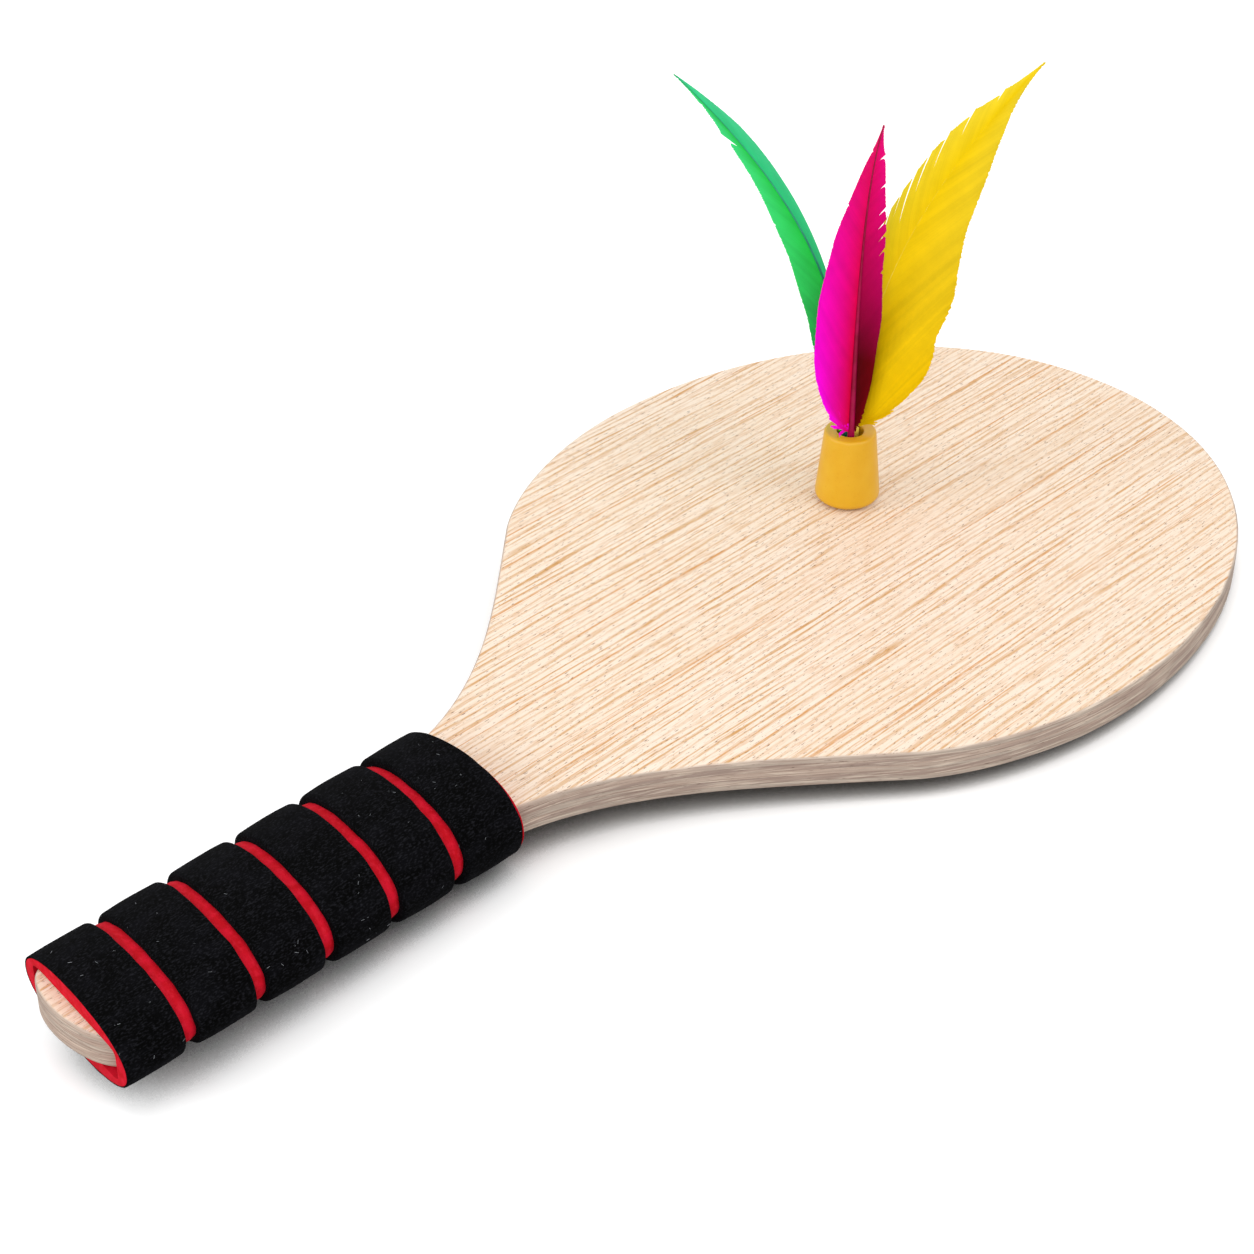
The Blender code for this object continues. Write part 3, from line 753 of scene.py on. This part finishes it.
# The barbs of a vane are finer and closer on a real feather: these are as coarse as they need to be to
# show. Near the base they thin out to down, which strays and varies in length.
BARB_COUNT = 400
BARB_POINTS = 14
BARB_WIDTH = 0.55
BARB_THICKNESS = 0.05
BARB_RIDGE = math.radians(8.0)
BARB_ANGLE = math.radians(28.0)
BARB_TILT = math.radians(1.0)
BARB_ROOT = 0.4
BARB_CURVE = 0.85
BARB_THINNING = 0.6
BARB_STRAY = 0.0008
BARB_CROWDING = 1.35
TIP_CROWDING = 1.5
LOWEST_ROOT = 0.25
DOWN_SHARE = 0.07
DOWN_LENGTHS = (-0.4, 0.5)
DOWN_STRAY = 0.02
DOWN_THINNING = 0.7
SPLIT_REACH = 0.013
EDGE_WAVE = 0.08
EDGE_WAVE_COUNT = 7.0
EDGE_FRAY = 0.025
BARB_TONES = (0.97, 1.02)
STREAK_RUN = 0.022
STREAK_DEPTH = 0.09
BARB_TRANSLUCENCY = 0.12
TANGENT_STEP = 0.001


class Feather:
    """The curve of a quill and the two vanes on it, in the shuttlecock's millimetres."""

    def __init__(self, azimuth, rise, lean, bow, twist, fold, vanes):
        self.outward = Vector((math.cos(azimuth), math.sin(azimuth), 0.0))
        self.sideways = Vector((0.0, 0.0, 1.0)).cross(self.outward)
        self.mouth = self.outward * QUILL_CIRCLE + Vector((0.0, 0.0, BASE_HEIGHT))
        up = Vector((0.0, 0.0, rise))
        self.span = (
            self.mouth,
            self.mouth + up / 3,
            self.mouth + up * 2 / 3 + self.outward * bow,
            self.mouth + up + self.outward * lean,
        )
        self.rise = rise
        self.start = VANE_START / rise
        self.twist = twist
        self.fold = fold
        self.vanes = vanes

    def quill_point(self, share):
        """The middle of the quill at a share of its length above the base."""
        return bezier(share, *self.span)

    def quill_radius(self, share):
        """The quill thins out quickly above its foot, and is hair-thin at its tip."""
        return QUILL_TIP_RADIUS + (QUILL_RADIUS - QUILL_TIP_RADIUS) * (1.0 - min(1.0, share)) ** QUILL_TAPER

    def axes(self, share):
        """The quill's direction, and the sideways and outward directions across it."""
        along = (self.quill_point(share + TANGENT_STEP) - self.quill_point(share)).normalized()
        turn = Quaternion(along, -self.twist * share)
        return along, turn @ self.sideways, turn @ self.sideways.cross(along).normalized()

    def vane_width(self, side, share):
        """The width of a vane, rounded at its foot and drawn out to a pointed tip."""
        width, widest = self.vanes[side]
        here = min(1.0, max(0.0, (share - self.start) / (1.0 - self.start)))
        taper = VANE_SWELL * (1.0 - widest) / widest
        pointed = min(1.0, (1.0 - here) / POINTED_SHARE) ** 0.5
        return width * pointed * (here / widest) ** VANE_SWELL * ((1.0 - here) / (1.0 - widest)) ** taper

    def vane_point(self, side, share, reach):
        """A point on a vane at a distance from the quill, and the vane's normal there.

        A vane with a fold of 1 leaves the quill at an angle and stays flat. With less, it bends over
        from the quill to its edge, which lies in the same place.
        """
        along, sideways, normal = self.axes(share)
        cup = ROOT_CUP + (TIP_CUP - ROOT_CUP) * share
        span = self.vane_width(side, share) + self.quill_radius(share)
        bend = cup * (self.fold + (1.0 - self.fold) * min(1.0, reach / span))
        lean = cup * (self.fold + (1.0 - self.fold) * 2.0 * min(1.0, reach / span))
        across = sideways * (side * math.cos(bend)) + normal * math.sin(bend)
        surface = sideways * (side * math.cos(lean)) + normal * math.sin(lean)
        return self.quill_point(share) + across * reach, surface.cross(along).normalized()


def build_quill(name, feather, sink, material):
    """The quill as a tapered tube, from the floor of the socket to the feather's tip.

    Above its bare foot it lies sunk under the vanes, outwards, by a share of its radius.
    """
    shape = bmesh.new()
    foot = Vector((feather.mouth.x, feather.mouth.y, QUILL_END))
    sections = [(foot, 0.0)]
    for step in range(QUILL_STEPS + 1):
        sections.append((feather.quill_point(step / QUILL_STEPS), step / QUILL_STEPS))
    rings = []
    for point, share in sections:
        _, sideways, normal = feather.axes(share)
        radius = feather.quill_radius(share)
        under = min(1.0, share / QUILL_RISE_SHARE) * sink * radius
        ring = []
        for step in range(QUILL_SIDES):
            turn = math.tau * step / QUILL_SIDES
            away = sideways * math.cos(turn) + normal * math.sin(turn)
            ring.append(shape.verts.new(point + normal * under + away * radius))
        rings.append(ring)
    skin_rings(shape, rings)
    shape.faces.new(rings[0])
    shape.faces.new(rings[-1])
    return finish_piece(name, shape, shuttle, material)


def blend_colours(first, second, share):
    """A colour between two linear colours."""
    return [a + (b - a) * share for a, b in zip(first, second)]


def barb_lines(name, feather, dyes_and_shade, splits, seed):
    """A mesh of lines for the barbs, with normal, width and dye, painted light and shade in it, on every
    point.

    A split is (side, share of the feather, opening, depth): there the barbs part at the edge. Each vane
    has its own place in the noise that waves its edge and in the noise that streaks it.
    """
    draw = random.Random(seed)
    points = []
    edges = []
    normals = []
    widths = []
    colours = []
    for side in (-1, 1):
        *dips, turn_from, turn_to = dyes_and_shade[side]
        corners = [linear(colour) for colour in dips]
        edge_place = (side * 3.0, seed * 5.0)
        streak_place = (side * 2.0, seed * 3.0 + 0.5)
        for count in range(BARB_COUNT):
            place = 1.0 - (1.0 - ((count + 0.5) / BARB_COUNT) ** BARB_CROWDING) ** TIP_CROWDING
            tip_share = feather.start + (1.0 - feather.start) * place
            wave = 1.0 + EDGE_WAVE * noise.noise((tip_share * EDGE_WAVE_COUNT, *edge_place))
            width = feather.vane_width(side, tip_share) * wave
            sweep = width / math.tan(BARB_ANGLE) / feather.rise
            root_share = max(LOWEST_ROOT * feather.start, tip_share - sweep)
            down = max(0.0, 1.0 - place / DOWN_SHARE)
            length = width * (1.0 - EDGE_FRAY * draw.random() + down * draw.uniform(*DOWN_LENGTHS))
            stray = draw.gauss(0.0, BARB_STRAY + DOWN_STRAY * down)
            streak = noise.noise((tip_share / STREAK_RUN, *streak_place))
            tone = draw.uniform(*BARB_TONES) * (1.0 + STREAK_DEPTH * streak)
            for step in range(BARB_POINTS):
                run = step / (BARB_POINTS - 1)
                share = root_share + (tip_share - root_share) * run
                for split_side, split_share, opening, depth in splits:
                    if split_side == side and run > depth:
                        gap = tip_share - split_share
                        pull = (run - depth) / (1.0 - depth)
                        share += math.copysign(opening, gap) * math.exp(-abs(gap) / SPLIT_REACH) * pull
                share = min(1.0, share + stray * run**2)
                radius = feather.quill_radius(share)
                reach = BARB_ROOT * radius + (length + (1.0 - BARB_ROOT) * radius) * run**BARB_CURVE
                point, normal = feather.vane_point(side, share, reach)
                points.append(shuttle @ point)
                normals.append(normal)
                widths.append((1.0 - BARB_THINNING * run**3) * (1.0 - DOWN_THINNING * down))
                low = blend_colours(corners[0], corners[1], run)
                high = blend_colours(corners[2], corners[3], run)
                turned = min(1.0, max(0.0, (share - turn_from) / (turn_to - turn_from)))
                dye_and_shade = blend_colours(low, high, turned)
                colours.append([min(1.0, channel * tone) for channel in dye_and_shade[:3]] + [1.0])
                if step:
                    edges.append((len(points) - 2, len(points) - 1))
    mesh = bpy.data.meshes.new(name)
    mesh.from_pydata(points, edges, [])
    lean = shuttle.to_3x3().normalized()
    normal_data = mesh.attributes.new("barb_normal", "FLOAT_VECTOR", "POINT")
    normal_data.data.foreach_set("vector", [value for normal in normals for value in lean @ normal])
    mesh.attributes.new("barb_taper", "FLOAT", "POINT").data.foreach_set("value", widths)
    dye_data = mesh.attributes.new("dye_and_shade", "FLOAT_COLOR", "POINT")
    dye_data.data.foreach_set("color", [value for colour in colours for value in colour])
    return mesh


def barb_tree():
    """Geometry nodes that sweep a thin flat barb along every line, at its own normal and width."""
    tree = bpy.data.node_groups.new("feather_barbs", "GeometryNodeTree")
    tree.interface.new_socket("Geometry", in_out="INPUT", socket_type="NodeSocketGeometry")
    for name in ("Barb Width", "Barb Thickness", "Barb Tilt"):
        tree.interface.new_socket(name, in_out="INPUT", socket_type="NodeSocketFloat")
    tree.interface.new_socket("Barb Material", in_out="INPUT", socket_type="NodeSocketMaterial")
    tree.interface.new_socket("Geometry", in_out="OUTPUT", socket_type="NodeSocketGeometry")
    given = add_node(tree, "NodeGroupInput")
    lines = add_node(tree, "GeometryNodeMeshToCurve", {"Mesh": given.outputs["Geometry"]})
    normal = add_node(
        tree, "GeometryNodeInputNamedAttribute", {"Name": "barb_normal"}, data_type="FLOAT_VECTOR"
    )
    faced = add_node(
        tree, "GeometryNodeSetCurveNormal",
        {"Curve": lines.outputs["Curve"], "Normal": normal.outputs["Attribute"]}, mode="FREE",
    )
    tilted = add_node(
        tree, "GeometryNodeSetCurveTilt",
        {"Curve": faced.outputs["Curve"], "Tilt": given.outputs["Barb Tilt"]},
    )
    taper = add_node(tree, "GeometryNodeInputNamedAttribute", {"Name": "barb_taper"}, data_type="FLOAT")
    tapered = add_node(
        tree, "GeometryNodeSetCurveRadius",
        {"Curve": tilted.outputs["Curve"], "Radius": taper.outputs["Attribute"]},
    )
    ring = add_node(tree, "GeometryNodeCurvePrimitiveCircle", {"Resolution": 4, "Radius": 0.5})
    section = add_node(
        tree, "ShaderNodeCombineXYZ",
        {"X": given.outputs["Barb Thickness"], "Y": given.outputs["Barb Width"], "Z": 1.0},
    )
    flat = add_node(
        tree, "GeometryNodeTransform", {"Geometry": ring.outputs["Curve"], "Scale": section.outputs[0]}
    )
    swept = add_node(
        tree, "GeometryNodeCurveToMesh",
        {"Curve": tapered.outputs["Curve"], "Profile Curve": flat.outputs["Geometry"], "Fill Caps": True},
    )
    real = add_node(tree, "GeometryNodeRealizeInstances", {"Geometry": swept.outputs["Mesh"]})
    dressed = add_node(
        tree, "GeometryNodeSetMaterial",
        {"Geometry": real.outputs["Geometry"], "Material": given.outputs["Barb Material"]},
    )
    add_node(tree, "NodeGroupOutput", {"Geometry": dressed.outputs["Geometry"]})
    return tree


def feather_material(name):
    """Dyed keratin barbs: soft satin, and so thin that light shines through in the dye's colour."""
    material, tree, shader = start_material(name, roughness=0.55, ior=1.54)
    shader.inputs["Specular IOR Level"].default_value = 0.05
    dye_and_shade = add_node(tree, "ShaderNodeAttribute", attribute_name="dye_and_shade")
    source = add_node(tree, "ShaderNodeTexCoord")
    uneven, _ = layered_colour(
        tree, source.outputs["Object"], linear("#ffffff"), (((5.0, 5.0, 5.0), 0.35, 0.70, "#f8f8f8", 1.0),)
    )
    tinted = add_node(
        tree, "ShaderNodeMix", {0: 1.0, 6: dye_and_shade.outputs["Color"], 7: uneven},
        data_type="RGBA", blend_type="MULTIPLY",
    ).outputs[2]
    tree.links.new(tinted, shader.inputs["Base Color"])
    through = add_node(tree, "ShaderNodeBsdfTranslucent", {"Color": tinted})
    thin = add_node(
        tree, "ShaderNodeMixShader", {0: BARB_TRANSLUCENCY, 1: shader.outputs[0], 2: through.outputs[0]}
    )
    tree.links.new(thin.outputs[0], tree.nodes["Material Output"].inputs["Surface"])
    return material


def quill_material(name, colour, shade):
    """Dyed quill: smooth horn that took the dye unevenly, a little glossy."""
    material, tree, shader = start_material(name, roughness=0.38, ior=1.54)
    shader.inputs["Specular IOR Level"].default_value = 0.2
    source = add_node(tree, "ShaderNodeTexCoord")
    dyed, _ = layered_colour(
        tree, source.outputs["Object"], linear(colour), (((4.0, 4.0, 4.0), 0.35, 0.65, shade, 1.0),)
    )
    tree.links.new(dyed, shader.inputs["Base Color"])
    return material


# Each feather: its curve in degrees and millimetres, how sharply its vanes fold at the quill, its vanes
# as greatest width and the share where it has that, how far its quill is sunk, its dyes (with painted
# shade and painted light in some) at the quill and edge of the foot, then at the quill and edge of the
# tip, with the shares between which they pass into each other, and the places where its barbs part.
FEATHERS = {
    "green": {
        "shape": (106.0, 94.1, 54.5, 7.9, 0.0, 0.5, {-1: (13.1, 0.59), 1: (8.2, 0.35)}),
        "sink": 0.1,
        "dyes_and_shade": {
            -1: ("#12c878", "#1adc84", "#27c87c", "#42d08f", 0.0, 1.0),
            # The narrow vane's bright foot is partly painted light, against the shade where the other
            # feathers crowd it.
            1: ("#28fa50", "#2cf84c", "#21b544", "#40d07c", 0.0, 0.9),
        },
        "quill": ("#197f63", "#249172"),
        "splits": (
            (1, 0.935, 0.004, 0.40), (1, 0.86, 0.014, 0.25), (1, 0.66, 0.004, 0.6), (-1, 0.66, 0.009, 0.35),
            (-1, 0.60, 0.009, 0.35), (-1, 0.53, 0.009, 0.4), (-1, 0.46, 0.008, 0.4), (-1, 0.39, 0.008, 0.4),
        ),
    },
    "yellow": {
        "shape": (-14.0, 95.7, 56.3, 9.6, -35.0, 0.0, {-1: (18.0, 0.34), 1: (12.8, 0.43)}),
        "sink": 0.95,
        "dyes_and_shade": {
            -1: ("#e8c200", "#e8be00", "#e3c000", "#e9cf2b", 0.2, 1.1),
            1: ("#e8c000", "#e8c600", "#e3c200", "#e9d031", 0.2, 1.1),
        },
        "quill": ("#dfc535", "#e3cf54"),
        "splits": (
            (1, 0.40, 0.010, 0.30), (1, 0.45, 0.011, 0.20), (1, 0.50, 0.012, 0.12), (1, 0.55, 0.011, 0.20),
            (1, 0.60, 0.012, 0.12), (1, 0.65, 0.010, 0.30), (1, 0.70, 0.011, 0.12), (1, 0.75, 0.009, 0.30),
            (1, 0.80, 0.011, 0.15), (1, 0.86, 0.010, 0.20), (1, 0.92, 0.008, 0.30),
        ),
    },
    "magenta": {
        "shape": (-134.0, 105.7, 29.2, -4.5, 0.0, 0.6, {-1: (13.4, 0.29), 1: (6.0, 0.40)}),
        "sink": 0.1,
        "dyes_and_shade": {
            -1: ("#da0030", "#ff00f3", "#ff0070", "#ff0084", 0.2, 0.8),
            # The right vane is dark crimson at its foot: painted shade in the fold, under the bright pink of
            # its tip.
            1: ("#520008", "#6a010a", "#ff0078", "#ff0090", 0.22, 0.85),
        },
        "quill": ("#810231", "#a20349"),
        "splits": (
            (1, 0.88, 0.01, 0.20), (1, 0.78, 0.0075, 0.3), (1, 0.70, 0.01, 0.3), (1, 0.66, 0.0088, 0.3),
            (1, 0.62, 0.01, 0.3), (1, 0.57, 0.0088, 0.35), (1, 0.50, 0.0063, 0.5), (-1, 0.72, 0.005, 0.5),
            (-1, 0.90, 0.0063, 0.4),
        ),
    },
}

barbs = barb_tree()
for number, (colour_name, look) in enumerate(FEATHERS.items()):
    azimuth, rise, lean, bow, twist, fold, vanes = look["shape"]
    feather = Feather(math.radians(azimuth), rise, lean, bow, math.radians(twist), fold, vanes)
    lines = barb_lines(f"{colour_name}_barbs", feather, look["dyes_and_shade"], look["splits"], seed=number)
    vane = grow(
        f"{colour_name}_feather_vanes", lines, barbs,
        {
            "Barb Width": BARB_WIDTH * MM,
            "Barb Thickness": BARB_THICKNESS * MM,
            "Barb Tilt": BARB_TILT,
            "Barb Material": feather_material(f"dyed_{colour_name}_barbs"),
        },
    )
    vane.data.set_sharp_from_angle(angle=BARB_RIDGE)
    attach(vane, "shuttlecock")
    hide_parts(f"{colour_name}_feather")
    horn = quill_material(f"dyed_{colour_name}_quill", *look["quill"])
    quill = build_quill(f"{colour_name}_feather_quill", feather, look["sink"], horn)
    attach(quill, "shuttlecock")


# Studio: a light tent. A white floor and an even white surround, with weak lamps to the left, in front
# and to the right, and the camera where the photograph was taken from. A lamp is its name, its place
# and width in metres, and its power in watts.
FLOOR_SIZE = 12.0
FLOOR_LEVEL = 1.10
FLOOR_BOUNCE = "#a6a6a6"
CONTACT_REACH = 30.0
CONTACT_LEVEL = 0.085
CONTACT_CLOSE = 0.18
CONTACT_OPEN = 0.50
TENT_LEVEL = 1.11
LAMPS = (
    ("soft_left", (-1.72, 0.91, 0.79), 1.0, 13.2),
    ("soft_front", (-1.72, -1.12, 0.44), 0.8, 7.2),
    ("soft_right", (0.49, -1.82, 1.32), 1.6, 10.2),
)
CAMERA_PLACE = (-0.395968, -0.382356, 0.431783)
CAMERA_TURN = (53.39756, 1.35891, -45.82959)
CAMERA_LENS = 76.143
CAMERA_SENSOR = 36.0

# Painted floor: plain matte white, brighter as the camera sees it than as it lights the racket from
# below. A painted shadow darkens its colour where the racket lies so close that hardly any light gets in.
floor_paint, tree, shader = start_material("matte_white_floor", roughness=1.0, ior=1.45)
shader.inputs["Specular IOR Level"].default_value = 0.0
rays = add_node(tree, "ShaderNodeLightPath")
near = add_node(tree, "ShaderNodeAmbientOcclusion", {"Distance": CONTACT_REACH * MM}, samples=8)
painted_contact_shadow = add_node(
    tree, "ShaderNodeMapRange",
    {
        "Value": near.outputs["AO"], "From Min": CONTACT_CLOSE, "From Max": CONTACT_OPEN,
        "To Min": CONTACT_LEVEL, "To Max": FLOOR_LEVEL,
    },
)
seen_white = add_node(
    tree, "ShaderNodeMix",
    {0: rays.outputs["Is Camera Ray"], 6: linear(FLOOR_BOUNCE), 7: painted_contact_shadow.outputs[0]}, data_type="RGBA",
)
tree.links.new(seen_white.outputs[2], shader.inputs["Base Color"])
shape = bmesh.new()
bmesh.ops.create_grid(shape, x_segments=1, y_segments=1, size=FLOOR_SIZE / 2)
floor = finish_piece("studio_floor", shape, Matrix.Identity(4), floor_paint)

world = bpy.data.worlds.new("white_surround")
bpy.context.scene.world = world
world.use_nodes = True
tree = world.node_tree
rays = add_node(tree, "ShaderNodeLightPath")
level = add_node(
    tree, "ShaderNodeMapRange", {"Value": rays.outputs["Is Camera Ray"], "To Min": TENT_LEVEL, "To Max": 1.0}
)
surround = tree.nodes["Background"]
surround.inputs["Color"].default_value = linear("#ffffff")
tree.links.new(level.outputs[0], surround.inputs["Strength"])

for lamp_name, lamp_place, lamp_size, lamp_power in LAMPS:
    light = bpy.data.lights.new(lamp_name, "AREA")
    light.shape = "DISK"
    light.size = lamp_size
    light.energy = lamp_power
    lamp = bpy.data.objects.new(lamp_name, light)
    lamp.location = lamp_place
    lamp.rotation_euler = Vector(lamp_place).to_track_quat("Z", "Y").to_euler()
    bpy.context.scene.collection.objects.link(lamp)

lens = bpy.data.cameras.new("photo_camera")
lens.lens = CAMERA_LENS
lens.sensor_width = CAMERA_SENSOR
camera = bpy.data.objects.new("photo_camera", lens)
camera.location = CAMERA_PLACE
camera.rotation_euler = [math.radians(turn) for turn in CAMERA_TURN]
bpy.context.scene.collection.objects.link(camera)
bpy.context.scene.camera = camera
bpy.context.scene.view_settings.view_transform = "Standard"
